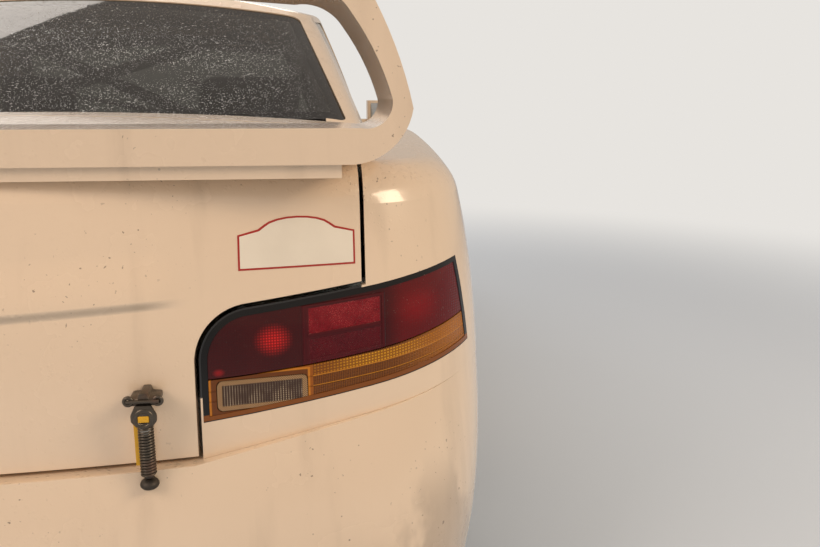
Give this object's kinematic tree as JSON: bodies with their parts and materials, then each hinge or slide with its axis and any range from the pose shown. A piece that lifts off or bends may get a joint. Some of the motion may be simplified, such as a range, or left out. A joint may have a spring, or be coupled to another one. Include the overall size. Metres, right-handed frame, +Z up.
{
  "type": "rally car",
  "caption": "Compact two-door coupe rally car with a hoop rear wing, opening doors, bonnet and boot lid, steered front wheels and free-turning wheels.",
  "frame": {"origin": "on the ground, under the middle of the car's length and width", "axes": "+X to the nose, +Y to the car's left, +Z up"},
  "size_m": [4.3435, 1.959, 1.3899],
  "materials": {
    "paint": "wet gloss off-white",
    "inner_paint": "satin off-white",
    "glass": "clear, lightly tinted",
    "lamp_black": "gloss black",
    "trim_black": "matt black",
    "red_lens": "ribbed red",
    "amber_lens": "ribbed amber",
    "clear_lens": "fluted clear",
    "rim_paint": "gloss white",
    "tyre": "matt",
    "steel": "satin",
    "dark_steel": "rough",
    "cage": "satin",
    "fabric": "woven black",
    "alloy": "satin"
  },
  "bodies": {
    "car_body": {"body_sides": "paint", "roof_panel": "paint", "windscreen": "glass", "rear_window": "glass", "quarter_windows": "glass", "scuttle_panel": "paint", "rear_deck": "paint", "front_wings": "paint", "nose_panel": "paint", "front_bumper": "paint", "rear_bumper": "paint", "wheel_arch_liners": "inner_paint", "floor_pan": "inner_paint", "front_bulkhead": "inner_paint", "boot_floor": "inner_paint", "rear_bulkhead": "inner_paint", "rear_panel": "inner_paint", "tail_lamp_housings": "lamp_black", "tail_lenses_red": "red_lens", "tail_lenses_amber": "amber_lens", "tail_lenses_clear": "clear_lens", "headlamp_housings": "lamp_black", "headlamp_lenses": "clear_lens", "grille": "trim_black", "front_frame": "dark_steel", "engine": "dark_steel", "radiator": "alloy", "sump_guard": "alloy", "rear_suspension": "dark_steel", "roll_cage": "cage", "seats": "fabric", "dashboard": "trim_black", "exhaust": "steel", "latch_feet": "dark_steel"},
    "bonnet": {"bonnet": "paint"},
    "boot_lid": {"boot_lid": "paint", "rear_wing": "paint", "boot_latches": "steel"},
    "door_left": {"door_left": "paint", "door_glass_left": "glass", "mirror_left": "paint"},
    "door_right": {"door_right": "paint", "door_glass_right": "glass", "mirror_right": "paint"},
    "steering_wheel": {"steering_wheel": "trim_black"},
    "knuckle_left": {"knuckle_left": "dark_steel"},
    "knuckle_right": {"knuckle_right": "dark_steel"},
    "wheel_front_left": {"rim_front_left": "rim_paint", "tyre_front_left": "tyre"},
    "wheel_front_right": {"rim_front_right": "rim_paint", "tyre_front_right": "tyre"},
    "wheel_rear_left": {"rim_rear_left": "rim_paint", "tyre_rear_left": "tyre"},
    "wheel_rear_right": {"rim_rear_right": "rim_paint", "tyre_rear_right": "tyre"}
  },
  "joints": [
    {"name": "bonnet_hinge", "type": "hinge", "parent": "car_body", "child": "bonnet", "pos_m": [0.983, 0, 0.946], "axis": [0, -1, 0], "range_deg": [0, 55]},
    {"name": "boot_lid_hinge", "type": "hinge", "parent": "car_body", "child": "boot_lid", "pos_m": [-1.492, 0, 1.033], "axis": [0, 1, 0], "range_deg": [0, 60]},
    {"name": "door_left_hinge", "type": "hinge", "parent": "car_body", "child": "door_left", "pos_m": [0.77, 0.848, 0.6], "axis": [0, 0, -1], "range_deg": [0, 65]},
    {"name": "door_right_hinge", "type": "hinge", "parent": "car_body", "child": "door_right", "pos_m": [0.77, -0.848, 0.6], "axis": [0, 0, 1], "range_deg": [0, 65]},
    {"name": "steer_left", "type": "hinge", "parent": "car_body", "child": "knuckle_left", "pos_m": [1.29, 0.7, 0.195], "axis": [0, -0.2419, 0.9703], "range_deg": [-28, 28]},
    {"name": "steer_right", "type": "hinge", "parent": "car_body", "child": "knuckle_right", "pos_m": [1.29, -0.7, 0.195], "axis": [0, 0.2419, 0.9703], "range_deg": [-28, 28]},
    {"name": "steering_wheel_turn", "type": "hinge", "parent": "car_body", "child": "steering_wheel", "pos_m": [0.34, 0.365, 0.8], "axis": [0.9397, 0, -0.342], "range_deg": [-450, 450]},
    {"name": "wheel_front_left_spin", "type": "hinge", "parent": "knuckle_left", "child": "wheel_front_left", "pos_m": [1.29, 0.7605, 0.318], "axis": [0, 1, 0], "continuous": true},
    {"name": "wheel_front_right_spin", "type": "hinge", "parent": "knuckle_right", "child": "wheel_front_right", "pos_m": [1.29, -0.7605, 0.318], "axis": [0, 1, 0], "continuous": true},
    {"name": "wheel_rear_left_spin", "type": "hinge", "parent": "car_body", "child": "wheel_rear_left", "pos_m": [-1.23, 0.7605, 0.318], "axis": [0, 1, 0], "continuous": true},
    {"name": "wheel_rear_right_spin", "type": "hinge", "parent": "car_body", "child": "wheel_rear_right", "pos_m": [-1.23, -0.7605, 0.318], "axis": [0, 1, 0], "continuous": true}
  ],
  "couplings": [
    {"joint": "steer_right", "follows": "steer_left", "ratio": 1},
    {"joint": "steering_wheel_turn", "follows": "steer_left", "ratio": -16}
  ]
}
